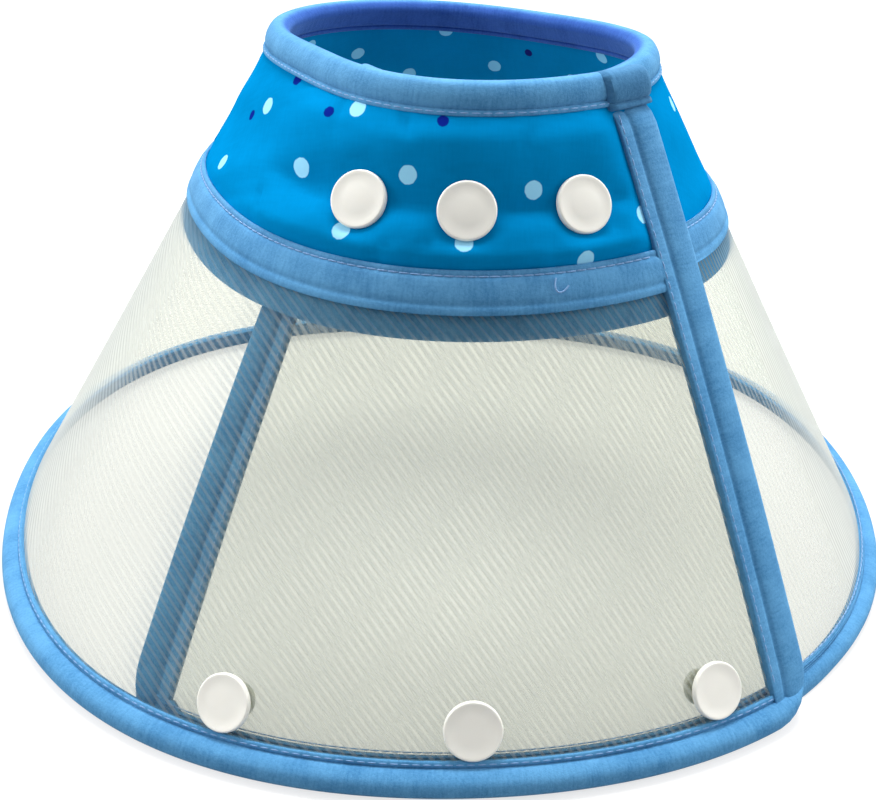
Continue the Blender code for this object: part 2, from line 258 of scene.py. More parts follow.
@lru_cache(maxsize=None)
def neck_point(azimuth):
    level = ring_point(waved(NECK_RADIUS, NECK_WAVES, azimuth), azimuth)
    height = HEIGHT + NECK_TILT * cos(radians(azimuth))
    return level + NECK_LEAN + BASE_SHIFT + Vector((0.0, 0.0, height))


@lru_cache(maxsize=None)
def rim_point(azimuth):
    return ring_point(waved(RIM_RADIUS, RIM_WAVES, azimuth), azimuth) + BASE_SHIFT


@lru_cache(maxsize=None)
def outward(azimuth):
    after = neck_point(azimuth + 1.0) + rim_point(azimuth + 1.0)
    before = neck_point(azimuth - 1.0) + rim_point(azimuth - 1.0)
    along = rim_point(azimuth) - neck_point(azimuth)
    return along.cross(after - before).normalized()


def winding_in(azimuth):
    """1 under the lap, 0 on top of it, and a gradual climb round the back."""
    return 1.0 - smooth(azimuth, RIGHT_HINGE, LEFT_HINGE)


def lap(slant):
    share = (slant - NECK_SNAP_SLANT) / (RIM_SNAP_SLANT - NECK_SNAP_SLANT)
    return mix(BAND + SNAP_SPACE, FILM + SNAP_SPACE, share)


def cone_point(azimuth, slant, height):
    """A point over the face of the wrap. The neck edge sits lower under the lap. Nothing is under z = 0."""
    normal = outward(azimuth)
    level = ring_point(1.0, azimuth)
    line = neck_point(azimuth).lerp(rim_point(azimuth), slant / SLANT)
    sunk = line - level * (winding_in(azimuth) * lap(slant) / level.dot(normal))
    point = sunk + normal * height
    under_lap = 1.0 - smooth(azimuth, RIGHT_HINGE - 5.0, RIGHT_HINGE + 45.0)
    point.z -= NECK_DROP * under_lap * (1.0 - smooth(slant, 0.0, SEAM_TOP))
    point.z = max(point.z, 0.0)
    return point


def girth_radius(slant):
    return mix(NECK_RADIUS, RIM_RADIUS, slant / SLANT)


def printed_azimuth(azimuth):
    """The azimuth on a round cone after the same stretch of girth, with the cloth drawn in at the left."""
    swing = sum(size / (order * NECK_RADIUS) * sin(order * radians(azimuth - peak))
                for order, size, peak in NECK_WAVES)
    return azimuth + degrees(swing) + CLOTH_DRAWN_IN * (1.0 - smooth(azimuth, FRONT - 72.0, FRONT - 34.0))


def flat_place(azimuth, slant):
    """Where a point of the wrap lay on the flat sheet, in metres, with the front straight down."""
    angle = radians((printed_azimuth(azimuth) - FRONT) * FLAT_SHARE)
    radius = FLAT_NECK_RADIUS + slant
    return radius * sin(angle), radius * cos(angle) - FLAT_NECK_RADIUS


class Side:
    """Half of the wrap, from the middle of the back round one hinge to a free end."""

    def __init__(self, name, flap, hinge, free_end, way):
        self.name = name
        self.flap = flap
        self.hinge = hinge
        self.free_end = free_end
        self.way = way
        self.hinge_share = (hinge - BACK) / (free_end[0] - BACK)

    def end_azimuth(self, slant, inset=0.0):
        return mix(*self.free_end, slant / SLANT) - self.way * degrees(inset / girth_radius(slant))

    def azimuth(self, share, slant, inset=0.0):
        """The azimuth at a share of the way from the back to the free end."""
        if share <= self.hinge_share:
            return mix(BACK, self.hinge, share / self.hinge_share)
        beyond = (share - self.hinge_share) / (1.0 - self.hinge_share)
        return mix(self.hinge, self.end_azimuth(slant, inset), beyond)

    def shares(self, spacing, slant=SLANT):
        """Equal steps from back to free end, with one of them on the hinge."""
        length = girth_radius(slant) * abs(radians(self.free_end[0] - BACK))
        before = max(2, round(self.hinge_share * length / spacing))
        after = max(2, round((1.0 - self.hinge_share) * length / spacing))
        first = [self.hinge_share * index / before for index in range(before)]
        return first + [mix(self.hinge_share, 1.0, index / after) for index in range(after + 1)]

    def bend(self, piece):
        """Bakes a piece's placement into its mesh. It finds the hinge's axis but doesn't bend the piece."""
        joint = next(joint for joint in frame["joints"] if joint["child"] == self.flap)
        axis = Vector(joint["axis"]).normalized()
        across = axis.cross(outward(self.hinge)).normalized()
        ahead = (cone_point(self.hinge + self.way, SLANT / 2, 0.0)
                 - cone_point(self.hinge - self.way, SLANT / 2, 0.0))
        if across.dot(ahead) < 0.0:
            across = -across
        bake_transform(piece)


LEFT = Side("left", "outer_flap", LEFT_HINGE, OUTER_END, 1.0)
RIGHT = Side("right", "inner_flap", RIGHT_HINGE, INNER_END, -1.0)


# ---- materials


def new_material(name):
    material = bpy.data.materials.new(name)
    material.use_nodes = True
    tree = material.node_tree
    tree.nodes.clear()
    output = tree.nodes.new("ShaderNodeOutputMaterial")
    return material, tree, output


def node(tree, kind, inputs=(), **settings):
    made = tree.nodes.new(kind)
    for key, value in settings.items():
        setattr(made, key, value)
    for key, value in dict(inputs).items():
        if isinstance(value, bpy.types.NodeSocket):
            tree.links.new(value, made.inputs[key])
        else:
            made.inputs[key].default_value = value
    return made


def math(tree, operation, first, second=0.0, third=0.0):
    return node(tree, "ShaderNodeMath", {0: first, 1: second, 2: third}, operation=operation).outputs[0]


def mapped(tree, value, low, high, to_low=0.0, to_high=1.0):
    inputs = {"Value": value, "From Min": low, "From Max": high, "To Min": to_low, "To Max": to_high}
    return node(tree, "ShaderNodeMapRange", inputs, interpolation_type="SMOOTHSTEP").outputs["Result"]


def weighed(tree, first, share, second):
    """A share of the first value and the rest of the second."""
    rest = math(tree, "MULTIPLY", second, 1.0 - share)
    return math(tree, "ADD", math(tree, "MULTIPLY", first, share), rest)


def blended(tree, share, first, second, blend_type="MIX"):
    inputs = {0: share, 6: first, 7: second}
    return node(tree, "ShaderNodeMix", inputs, data_type="RGBA", blend_type=blend_type).outputs[2]


def faded(colour, share):
    """A colour with its brightness cut to a share."""
    return tuple(part * share for part in colour) + (1.0,)


def flat_uv(tree):
    return node(tree, "ShaderNodeUVMap", uv_map="flat").outputs["UV"]


def noise_value(tree, vector, scale, detail=2.0, roughness=0.5):
    inputs = {"Vector": vector, "Scale": scale, "Detail": detail, "Roughness": roughness}
    return node(tree, "ShaderNodeTexNoise", inputs).outputs["Fac"]


def bump(tree, height, distance, strength=1.0):
    inputs = {"Height": height, "Distance": distance, "Strength": strength}
    return node(tree, "ShaderNodeBump", inputs).outputs["Normal"]


def object_place(tree):
    return node(tree, "ShaderNodeTexCoord").outputs["Object"]


def moved(tree, vector, rotation=(0.0, 0.0, 0.0), scale=(1.0, 1.0, 1.0)):
    inputs = {"Vector": vector, "Rotation": rotation, "Scale": scale}
    return node(tree, "ShaderNodeMapping", inputs).outputs["Vector"]


def stretched_uv(tree, across, along):
    """The flat coordinates, squeezed by different shares in their two directions."""
    return moved(tree, flat_uv(tree), scale=(across, along, 1.0))


def opaque(material, tree, output, inputs):
    shader = node(tree, "ShaderNodeBsdfPrincipled", inputs)
    tree.links.new(shader.outputs["BSDF"], output.inputs["Surface"])
    return material


def knit(name, dark, light, painted_shade_from=None):
    """Brushed knitted tape: fine ribs across the tape, soft blotches and a velvety bloom. Where asked, the
    part that lies beyond a distance across the tape gets a painted shade, darker and bluer, for lying in
    shadow inside the neck."""
    material, tree, output = new_material(name)
    ribs = noise_value(tree, stretched_uv(tree, 1.0, 0.16), 1300.0, 2.0)
    speckle = noise_value(tree, flat_uv(tree), 1500.0, 3.0, 0.7)
    blotches = noise_value(tree, flat_uv(tree), 130.0, 3.0)
    wear = noise_value(tree, flat_uv(tree), 28.0, 2.0)
    grain = weighed(tree, ribs, 0.4, speckle)
    patch = weighed(tree, blotches, 0.6, wear)
    tone = weighed(tree, grain, 0.5, patch)
    colour = blended(tree, mapped(tree, tone, 0.33, 0.62), (*dark, 1.0), (*light, 1.0))
    if painted_shade_from:
        # Painted shade: past this distance across the tape, its colour is multiplied by a darker blue.
        over = node(tree, "ShaderNodeSeparateXYZ", {0: flat_uv(tree)}).outputs["Y"]
        inside = mapped(tree, over, painted_shade_from, painted_shade_from + 2.5 * MM)
        colour = blended(tree, inside, colour, blended(tree, 1.0, colour, INSIDE_PAINTED_SHADE, "MULTIPLY"))
    normal = bump(tree, grain, 0.25 * MM, 0.7)
    return opaque(material, tree, output, {
        "Base Color": colour, "Roughness": 0.92, "Sheen Weight": 0.22, "Sheen Roughness": 0.5,
        "Sheen Tint": (0.35, 0.70, 1.0, 1.0), "Specular IOR Level": 0.15, "Normal": normal})


def lattice_distance(tree, origin, along, across, blank_cells):
    """The distance to the nearest dot of a slanted lattice on the flat sheet, with a few cells left blank."""
    from_origin = {0: flat_uv(tree), 1: (*origin, 0.0)}
    place = node(tree, "ShaderNodeVectorMath", from_origin, operation="SUBTRACT").outputs[0]
    area = along[0] * across[1] - along[1] * across[0]
    to_lattice = ((across[1] / area, -across[0] / area, 0.0), (-along[1] / area, along[0] / area, 0.0))
    offsets, cells = [], []
    for row, step in zip(to_lattice, (along, across)):
        steps = node(tree, "ShaderNodeVectorMath", {0: place, 1: row}, operation="DOT_PRODUCT")
        cell = math(tree, "ROUND", steps.outputs["Value"])
        part = math(tree, "SUBTRACT", steps.outputs["Value"], cell)
        offset = node(tree, "ShaderNodeVectorMath", {0: (*step, 0.0), "Scale": part}, operation="SCALE")
        cells.append(cell)
        offsets.append(offset.outputs[0])
    nearest = node(tree, "ShaderNodeVectorMath", {0: offsets[0], 1: offsets[1]}, operation="ADD").outputs[0]
    distance = node(tree, "ShaderNodeVectorMath", {0: nearest}, operation="LENGTH").outputs["Value"]
    for blank in blank_cells:
        matches = [math(tree, "COMPARE", cell, float(number), 0.5) for cell, number in zip(cells, blank)]
        distance = math(tree, "ADD", distance, math(tree, "MULTIPLY", *matches))
    return distance


def printed(name, ground, light_dot, dark_dot):
    """Smooth woven fabric, printed with large light dots and small dark ones."""
    material, tree, output = new_material(name)
    soft = noise_value(tree, flat_uv(tree), 60.0, 2.0)
    slub = noise_value(tree, stretched_uv(tree, 0.2, 1.0), 900.0, 1.0)
    weave = noise_value(tree, stretched_uv(tree, 1.0, 0.15), 1600.0, 1.0)
    thread = weighed(tree, slub, 0.5, weave)
    shade = mapped(tree, weighed(tree, soft, 0.6, thread), 0.3, 0.7, 0.91, 1.06)
    grey = node(tree, "ShaderNodeCombineColor", {0: shade, 1: shade, 2: shade}).outputs[0]
    colour = blended(tree, 1.0, (*ground, 1.0), grey, "MULTIPLY")
    edge = math(tree, "MULTIPLY", math(tree, "SUBTRACT", thread, 0.5), 0.5 * MM)
    for origin, across, blanks, radius, ink in (
            (LIGHT_ORIGIN, DOT_ACROSS, LIGHT_BLANKS, LIGHT_DOT, light_dot),
            (DARK_ORIGINS[0], DARK_ACROSS, DARK_BLANKS[:1], DARK_DOT, dark_dot),
            (DARK_ORIGINS[1], DARK_ACROSS, DARK_BLANKS, DARK_DOT, dark_dot)):
        ragged = math(tree, "ADD", lattice_distance(tree, origin, DOT_ALONG, across, blanks), edge)
        share = mapped(tree, ragged, radius - DOT_BLUR, radius + DOT_BLUR, 1.0, 0.0)
        colour = blended(tree, share, colour, (*ink, 1.0))
    normal = bump(tree, thread, 0.08 * MM, 0.6)
    return opaque(material, tree, output, {
        "Base Color": colour, "Roughness": 0.62, "Specular IOR Level": 0.0, "Normal": normal})


def ribbed_film(name):
    """Milky plastic film with soft ribs pressed into it, which run slanting down the cone."""
    material, tree, output = new_material(name)
    slanted = moved(tree, flat_uv(tree), rotation=(0.0, 0.0, RIB_TILT))
    across = node(tree, "ShaderNodeSeparateXYZ", {0: slanted}).outputs["X"]
    wander = noise_value(tree, flat_uv(tree), 30.0, 1.0)
    shifted = math(tree, "ADD", across, math(tree, "MULTIPLY", wander, RIB_WANDER))
    wave = math(tree, "SINE", math(tree, "MULTIPLY", shifted, 2 * pi / RIB_PITCH))
    strength = noise_value(tree, moved(tree, slanted, scale=(1.0, 0.10, 1.0)), 330.0, 1.0)
    rib = math(tree, "MULTIPLY", mapped(tree, wave, -1.0, 0.8), mapped(tree, strength, 0.25, 0.7, 0.75, 1.0))
    milk = mapped(tree, noise_value(tree, flat_uv(tree), 18.0, 2.0), 0.3, 0.7, *FILM_MILK)
    facing = node(tree, "ShaderNodeLayerWeight", {"Blend": 0.5}).outputs["Facing"]
    haze = mapped(tree, facing, 0.50, 0.96, 0.0, GLANCING_MILK)
    opacity = math(tree, "ADD", math(tree, "MULTIPLY", rib, RIB_MILK), math(tree, "ADD", milk, haze))
    opacity = math(tree, "MINIMUM", opacity, MOST_MILK)
    face = node(tree, "ShaderNodeBsdfPrincipled", {
        "Base Color": (0.34, 0.37, 0.37, 1.0), "Roughness": 0.4, "Specular IOR Level": 0.35})
    through = node(tree, "ShaderNodeBsdfTranslucent", {"Color": (0.76, 0.78, 0.74, 1.0)})
    milky = node(tree, "ShaderNodeMixShader", {0: 0.66, 1: face.outputs[0], 2: through.outputs[0]})
    clear = node(tree, "ShaderNodeBsdfTransparent", {"Color": (0.832, 0.840, 0.792, 1.0)})
    surface = node(tree, "ShaderNodeMixShader", {0: opacity, 1: clear.outputs[0], 2: milky.outputs[0]})
    tree.links.new(surface.outputs[0], output.inputs["Surface"])
    return material


def plastic(name, colour, roughness):
    """Moulded snap plastic, faintly uneven, with a soft gloss."""
    material, tree, output = new_material(name)
    cloud = noise_value(tree, object_place(tree), 160.0, 2.0)
    fine = noise_value(tree, object_place(tree), 1400.0, 2.0)
    tint = blended(tree, mapped(tree, cloud, 0.3, 0.7), faded(colour, 1.0), faded(colour, 0.97))
    rough = mapped(tree, fine, 0.3, 0.7, roughness * 0.85, roughness * 1.2)
    return opaque(material, tree, output, {
        "Base Color": tint, "Roughness": rough, "Specular IOR Level": 0.5, "Coat Weight": 0.25,
        "Coat Roughness": 0.12, "Subsurface Weight": 0.08, "Subsurface Radius": (1 * MM, 0.8 * MM, 0.6 * MM),
        "Normal": bump(tree, cloud, 0.02 * MM, 0.3)})


def foam(name):
    material, tree, output = new_material(name)
    cells = noise_value(tree, object_place(tree), 1200.0, 3.0)
    colour = blended(tree, mapped(tree, cells, 0.3, 0.7), (0.80, 0.80, 0.76, 1.0), (0.88, 0.88, 0.85, 1.0))
    return opaque(material, tree, output, {
        "Base Color": colour, "Roughness": 0.95, "Normal": bump(tree, cells, 0.1 * MM)})


def thread_finish(name, colour):
    material, tree, output = new_material(name)
    twist = noise_value(tree, object_place(tree), 2600.0, 1.0)
    tint = blended(tree, mapped(tree, twist, 0.3, 0.7), faded(colour, 0.82), faded(colour, 1.0))
    return opaque(material, tree, output, {
        "Base Color": tint, "Roughness": 0.6, "Sheen Weight": 0.2,
        "Normal": bump(tree, twist, 0.05 * MM, 0.6)})


# The neck tape's inside gets painted shade, from a distance across the tape onwards.
NECK_TAPE_CLOTH = knit("brushed_knit_neck_tape_painted_shade", *TAPE_DYES, NECK_TAPE + 2.0 * MM)
TAPE_CLOTH = knit("brushed_knit_tape", *TAPE_DYES)
# The folded tab is the same tape, with painted shade: darker copies of the tape dyes.
TAB_PAINTED_SHADE_CLOTH = knit("brushed_knit_tab_painted_shade", *TAB_PAINTED_SHADE_DYES)
PRINT_CLOTH = printed("printed_cotton", (0.0005, 0.20, 0.47), (0.30, 0.66, 0.90), (0.004, 0.016, 0.22))
LINING_CLOTH = printed("printed_lining", (0.002, 0.22, 0.50), (0.24, 0.62, 0.88), (0.012, 0.018, 0.16))
FILM_PLASTIC = ribbed_film("ribbed_film")
SNAP_WHITE = plastic("snap_plastic", (0.85, 0.84, 0.78), 0.34)
PADDING_FOAM = foam("padding_foam")
THREAD_BLUE = thread_finish("sewing_thread", (0.19, 0.37, 0.66))


# ---- meshes


def new_object(name, data):
    made = bpy.data.objects.new(name, data)
    bpy.context.scene.collection.objects.link(made)
    return made


def new_mesh(name, mesh_data):
    mesh = bpy.data.meshes.new(name)
    mesh_data.to_mesh(mesh)
    mesh_data.free()
    return mesh


def new_piece(name, mesh_data, material, stands_for=()):
    mesh = new_mesh(name, mesh_data)
    mesh.shade_smooth()
    mesh.materials.append(material)
    piece = new_object(name, mesh)
    if stands_for:
        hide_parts(*stands_for)
    return piece


def ring_of(mesh_data, centre, first, second, radius, count):
    """Points equally spaced on a circle through two directions."""
    turns = [2 * pi * index / count for index in range(count)]
    return [mesh_data.verts.new(centre + (first * cos(turn) + second * sin(turn)) * radius) for turn in turns]


def grid_piece(name, rows, places, material, stands_for=(), closed=True):
    """A skin over rows of points, with the flat place of each point as its texture place. Closed rows are
    loops, and the first and the last of them are capped."""
    mesh_data = bmesh.new()
    layer = mesh_data.loops.layers.uv.new("flat")
    verts = [[mesh_data.verts.new(point) for point in row] for row in rows]
    count = len(rows[0])
    for index in range(len(rows) - 1):
        for step in range(count if closed else count - 1):
            after = (step + 1) % count
            corners = ((index, step), (index, after), (index + 1, after), (index + 1, step))
            face = mesh_data.faces.new([verts[row][column] for row, column in corners])
            for loop, (row, column) in zip(face.loops, corners):
                loop[layer].uv = places[row][column]
    if closed:
        for row, flip in ((0, True), (len(rows) - 1, False)):
            ring = list(reversed(range(count))) if flip else list(range(count))
            face = mesh_data.faces.new([verts[row][column] for column in ring])
            for loop, column in zip(face.loops, ring):
                loop[layer].uv = places[row][column]
    bmesh.ops.recalc_face_normals(mesh_data, faces=mesh_data.faces)
    piece = new_piece(name, mesh_data, material, stands_for)
    piece.data.set_sharp_from_angle(angle=SHARP_EDGE)
    return piece


def rounded(points):
    """A smooth curve through points of a profile."""
    made = []
    for index in range(len(points) - 1):
        before = points[max(index - 1, 0)]
        start, end = points[index], points[index + 1]
        after = points[min(index + 2, len(points) - 1)]
        for step in range(CURVE_STEPS):
            share = step / CURVE_STEPS
            made.append(tuple(catmull(*four, share) for four in zip(before, start, end, after)))
    return made + [points[-1]]


def catmull(before, start, end, after, share):
    return 0.5 * (2 * start + (end - before) * share + (2 * before - 5 * start + 4 * end - after) * share ** 2
                  + (3 * start - before - 3 * end + after) * share ** 3)


def along_profile(profile):
    """The distance travelled over a profile to each of its points."""
    travelled = [0.0]
    for (slant, height), (next_slant, next_height) in zip(profile, profile[1:]):
        travelled.append(travelled[-1] + hypot(next_slant - slant, next_height - height))
    return travelled


def swell(azimuth):
    """Tapes and fabric swell freely outside, but lie pressed flat where the outer end covers them."""
    return 0.3 + 0.7 * smooth(azimuth, RIGHT_HINGE - 6.0, RIGHT_HINGE + 24.0)


def swollen(azimuth, height):
    """The height of a tape's point, with the roll pressed flat under the lap."""
    return height * swell(azimuth) if height > TAPE else height


def rolled_profile(width, sheet, bulge, lip=1.5 * MM):
    """A tape rolled over an edge: a pressed lip, a stitched groove and a roll, in front and behind."""
    roll = width - lip
    front = [(width, 0.1 * MM), (width, 0.62 * MM), (width - 0.25 * lip, 0.8 * MM),
             (width - 0.75 * lip, 0.75 * MM), (roll, 0.42 * MM), (0.88 * roll, TAPE + 0.4 * bulge),
             (0.62 * roll, TAPE + 0.95 * bulge), (0.35 * roll, TAPE + bulge),
             (0.12 * roll, TAPE + 0.65 * bulge), (-0.25 * MM, 0.35 * TAPE)]
    top = [(-0.75 * MM, -0.5 * sheet)]
    back = [(slant, -sheet - min(height, TAPE + 0.3 * MM)) for slant, height in reversed(front)]
    return rounded(front + top + back)


def rim_row(side, share, azimuth, profile):
    """The rim tape's points at one azimuth. It narrows under the lap and follows the rounded lower corner."""
    narrowed = 1.0 - LAP_TUCK * winding_in(BACK + share * (side.free_end[1] - BACK))
    cut = corner_cut(girth_radius(SLANT) * abs(radians(side.end_azimuth(SLANT) - azimuth)))
    thin = sqrt(max(0.0, 1.0 - cut / RIM_TAPE))
    row = []
    for up, height in profile:
        down = SLANT - up * narrowed
        if cut > 0.0:
            down = SLANT - mix(min(cut, RIM_TAPE), RIM_TAPE, up / RIM_TAPE)
        raised = mix(-0.5 * FILM, swollen(azimuth, height), 0.25 + 0.75 * thin)
        row.append(cone_point(azimuth, down, raised))
    return row


def strip(name, side, profile, stands_for, inset=0.0, material=TAPE_CLOTH, from_rim=False):
    """A profile of slant and height swept from the middle of the back to a free end. On the rim tape, the
    profile's slant counts up from the rim."""
    middle = SLANT if from_rim else sum(slant for slant, height in profile) / len(profile)
    travelled = along_profile(profile)
    rows, places = [], []
    for share in side.shares(STRIP_SPACING, SLANT if from_rim else SEAM_TOP):
        azimuth = side.azimuth(share, middle, inset)
        if from_rim:
            rows.append(rim_row(side, share, azimuth, profile))
        else:
            rows.append([cone_point(azimuth, slant, swollen(azimuth, height)) for slant, height in profile])
        places.append([(radians(azimuth) * girth_radius(middle), over) for over in travelled])
    side.bend(grid_piece(name, rows, places, material, stands_for))


def corner_cut(distance):
    """How far the rounded corner cuts into one edge, at a distance along it from the other edge."""
    if distance >= CORNER_RADIUS:
        return 0.0
    return CORNER_RADIUS - sqrt(CORNER_RADIUS ** 2 - (CORNER_RADIUS - distance) ** 2)


def end_strip(side, lift, stands_for):
    """The tape rolled over a free end, from under the neck binding to the rounded lower corner."""
    rows, places = [], []
    for index in range(END_STEPS + 1):
        slant = mix(END_TOP, SLANT - 0.2 * MM, index / END_STEPS)
        sheet = mix(BAND, FILM, smooth(slant, BAND_END - 1.0 * MM, FILM_START + 3.0 * MM))
        cut = min(corner_cut(SLANT - slant), END_TAPE * 0.999)
        thin = 0.2 + 0.8 * sqrt(1.0 - cut / END_TAPE)
        thin *= mix(0.3, 1.0, smooth(slant, NECK_TAPE, NECK_TAPE + 4.5 * MM))
        profile = rolled_profile(END_TAPE, sheet, END_BULGE, END_LIP)
        row = []
        for across, height in profile:
            azimuth = side.end_azimuth(slant, mix(cut, END_TAPE, across / END_TAPE))
            above = height if height < 0.0 else height + lift
            row.append(cone_point(azimuth, slant, mix(-0.5 * sheet, above, thin)))
        rows.append(row)
        places.append([(slant, over) for over in along_profile(profile)])
    piece = grid_piece(side.flap + "_end_tape", rows, places, TAPE_CLOTH, stands_for)
    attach(piece, side.flap)


def slab(name, side, top, bottom, face, thickness, shape, material, stands_for, spacing=1.7 * MM, rows=28):
    """A closed sheet between two slants, its face lifted by a shape of azimuth and slant."""
    columns = side.shares(spacing, mix(top, bottom, 0.5))
    levels = [mix(top, bottom, index / rows) for index in range(rows + 1)]
    loop = [(slant, 0.0) for slant in levels] + [(slant, 1.0) for slant in reversed(levels)]
    points, places = [], []
    for share in columns:
        row, place = [], []
        for slant, depth in loop:
            azimuth = side.azimuth(share, slant, EDGE_INSET)
            lifted = face + shape(azimuth, slant)
            row.append(cone_point(azimuth, slant, lifted - depth * thickness))
            place.append(flat_place(azimuth, slant))
        points.append(row)
        places.append(place)
    piece = grid_piece(name, points, places, material, stands_for)
    side.bend(piece)
    return piece


def neck_snap_offsets(azimuth, slant):
    """Distances along the girth and down the slant from each neck snap to a place on the outer end."""
    radius = girth_radius(NECK_SNAP_SLANT)
    for neck, rim in SNAP_COLUMNS.values():
        yield radius * radians(azimuth - FRONT - neck), slant - NECK_SNAP_SLANT


def snap_folds(across, down, away):
    """Small folds that run out from a snap, strongest below it."""
    fold = SNAP_FOLD * sin(5.0 * atan2(down, across) + 40.0 * across) * smooth(away, 5.5 * MM, 9.5 * MM)
    below = 0.4 + 0.6 * smooth(down, -4.0 * MM, 6.0 * MM)
    return fold * exp(-max(0.0, away - 7.5 * MM) / (5.0 * MM)) * below


def crease(azimuth, slant):
    """The valley along the neck snaps: wide above, steeper below, and shallow towards its two ends."""
    below = slant - NECK_SNAP_SLANT - 0.4 * MM
    reach = 8.5 * MM if below < 0.0 else 3.6 * MM
    begun = smooth(azimuth, FRONT - 58.0, FRONT - 34.0)
    ended = smooth(azimuth, OUTER_END[0] - 17.0, OUTER_END[0] - 10.0)
    return CREASE_DEPTH * (begun * (1.0 - ended)) * exp(-abs(below) / reach)


def pucker(azimuth, slant):
    """How deep the pinched folds are at a place."""
    depth = 0.0
    for place, level, turn, length in PUCKERS:
        across = radians(azimuth - FRONT - place) * girth_radius(level)
        down = slant - level
        along = down * cos(radians(turn)) + across * sin(radians(turn))
        aside = across * cos(radians(turn)) - down * sin(radians(turn))
        depth += exp(-(aside / PUCKER_WIDTH) ** 2) * exp(-(along / (0.5 * length)) ** 4)
    return PUCKER_DEPTH * depth


def pillow(azimuth, slant):
    """The padded band: full between its seams, gathered at them, and pulled into a valley along the snaps."""
    below_tape = smooth(slant, 4.0 * MM, 14.0 * MM)
    above_seam = 1.0 - smooth(slant, SEAM_TOP - 3.2 * MM, SEAM_TOP + 0.8 * MM)
    fullness = below_tape * above_seam
    lift = mix(SIDE_FULLNESS, FRONT_FULLNESS, smooth(azimuth, FRONT - 62.0, FRONT - 36.0)) * fullness
    around = radians(azimuth) * girth_radius(slant)
    lift += LUMP * noise.noise(Vector((around * 38.0, slant * 60.0, 0.0))) * fullness
    gather = exp(-abs(slant - SEAM_TOP) / (5.0 * MM)) + 0.8 * exp(-abs(slant - NECK_TAPE) / (5.0 * MM))
    lift += GATHER * gather * noise.noise(Vector((around * 230.0, slant * 40.0, 3.7)))
    lift = swell(azimuth) * lift - crease(azimuth, slant) - pucker(azimuth, slant)
    if azimuth > LEFT_HINGE:
        for across, down in neck_snap_offsets(azimuth, slant):
            away = hypot(across, down)
            if away < SNAP_REACH:
                lift += snap_folds(across, down, away)
                lift = mix(lift, PAD_HEIGHT, exp(-((away / PAD_RADIUS) ** 4)))
    to_end = girth_radius(slant) * radians(LEFT.end_azimuth(slant) - azimuth)
    return max(lift, DEEPEST_CREASE) * smooth(to_end, END_TAPE - 1.5 * MM, END_TAPE + 6.0 * MM)


def lining_shape(azimuth, slant):
    around = radians(azimuth) * girth_radius(slant)
    return 0.25 * MM * noise.noise(Vector((around * 50.0, slant * 60.0, 9.1))) - 0.1 * MM


def padding_shape(azimuth, slant):
    return 0.5 * pillow(azimuth, slant)


def film_sheet(side, stands_for):
    """One thin sheet half way through the CAD film, with its lower corner rounded off."""
    columns = side.shares(3.0 * MM, SLANT)
    count = 34
    bottom = SLANT - 1.2 * MM
    rows, places = [], []
    for share in columns:
        row, place = [], []
        for index in range(count + 1):
            slant = mix(FILM_START, bottom, index / count)
            azimuth = side.azimuth(share, slant, 0.9 * MM)
            to_end = girth_radius(slant) * abs(radians(side.end_azimuth(slant) - azimuth))
            slant = min(slant, SLANT - corner_cut(to_end) - 1.2 * MM)
            ripple = FILM_RIPPLE * noise.noise(Vector((radians(azimuth) * 6.0, slant * 14.0, 1.3)))
            row.append(cone_point(azimuth, slant, -0.5 * FILM + ripple))
            place.append(flat_place(azimuth, slant))
        rows.append(row)
        places.append(place)
    piece = grid_piece("film_" + side.name, rows, places, FILM_PLASTIC, stands_for, closed=False)
    side.bend(piece)
    return piece


def stitching(name, length, place_at):
    """A run of stitches along a path. place_at gives the point at a distance along it, at a height."""
    mesh_data = bmesh.new()
    for number in range(int(length / STITCH_PITCH)):
        begin = (number + 0.15) * STITCH_PITCH
        made = []
        for index in range(STITCH_RINGS):
            share = index / (STITCH_RINGS - 1)
            at = begin + STITCH * share
            arch = sin(pi * share)
            centre = place_at(at, THREAD * (0.9 * arch - 0.5))
            forward = (place_at(at + 0.2 * MM, 0.0) - place_at(at - 0.2 * MM, 0.0)).normalized()
            up = (place_at(at, 1.0 * MM) - place_at(at, 0.0)).normalized()
            across = forward.cross(up).normalized()
            radius = THREAD * (0.7 + 0.3 * arch)
            made.append(ring_of(mesh_data, centre, across, up, radius, STITCH_SIDES))
        for ring, following in zip(made, made[1:]):
            for step in range(STITCH_SIDES):
                after = (step + 1) % STITCH_SIDES
                mesh_data.faces.new((ring[step], ring[after], following[after], following[step]))
        mesh_data.faces.new(reversed(made[0]))
        mesh_data.faces.new(made[-1])
    bmesh.ops.recalc_face_normals(mesh_data, faces=mesh_data.faces)
    return new_piece(name, mesh_data, THREAD_BLUE)


def girth_stitching(name, side, slant, height, inset):
    """Stitches round the collar at one slant, from the middle of the back to near the free end."""
    radius = girth_radius(slant)
    length = radius * abs(radians(side.end_azimuth(slant, inset) - BACK))

    def place_at(distance, lift):
        azimuth = BACK + side.way * degrees(distance / radius)
        return cone_point(azimuth, slant, swollen(azimuth, height) + lift)

    side.bend(stitching(name, length, place_at))


def end_stitching(name, side, across, height):
    """Stitches down a free end, between the neck tape and the rim tape."""
    top = NECK_TAPE + 2.0 * MM

    def place_at(distance, lift):
        slant = top + distance
        return cone_point(side.end_azimuth(slant, across), slant, height + lift)

    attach(stitching(name, SLANT - RIM_TAPE - 1.0 * MM - top, place_at), side.flap)


# ---- the collar's parts


def nodes_named(side, part):
    bodies = (side.flap, "main") if side is LEFT else (side.flap,)
    return [f"{body}_{part}" for body in bodies]


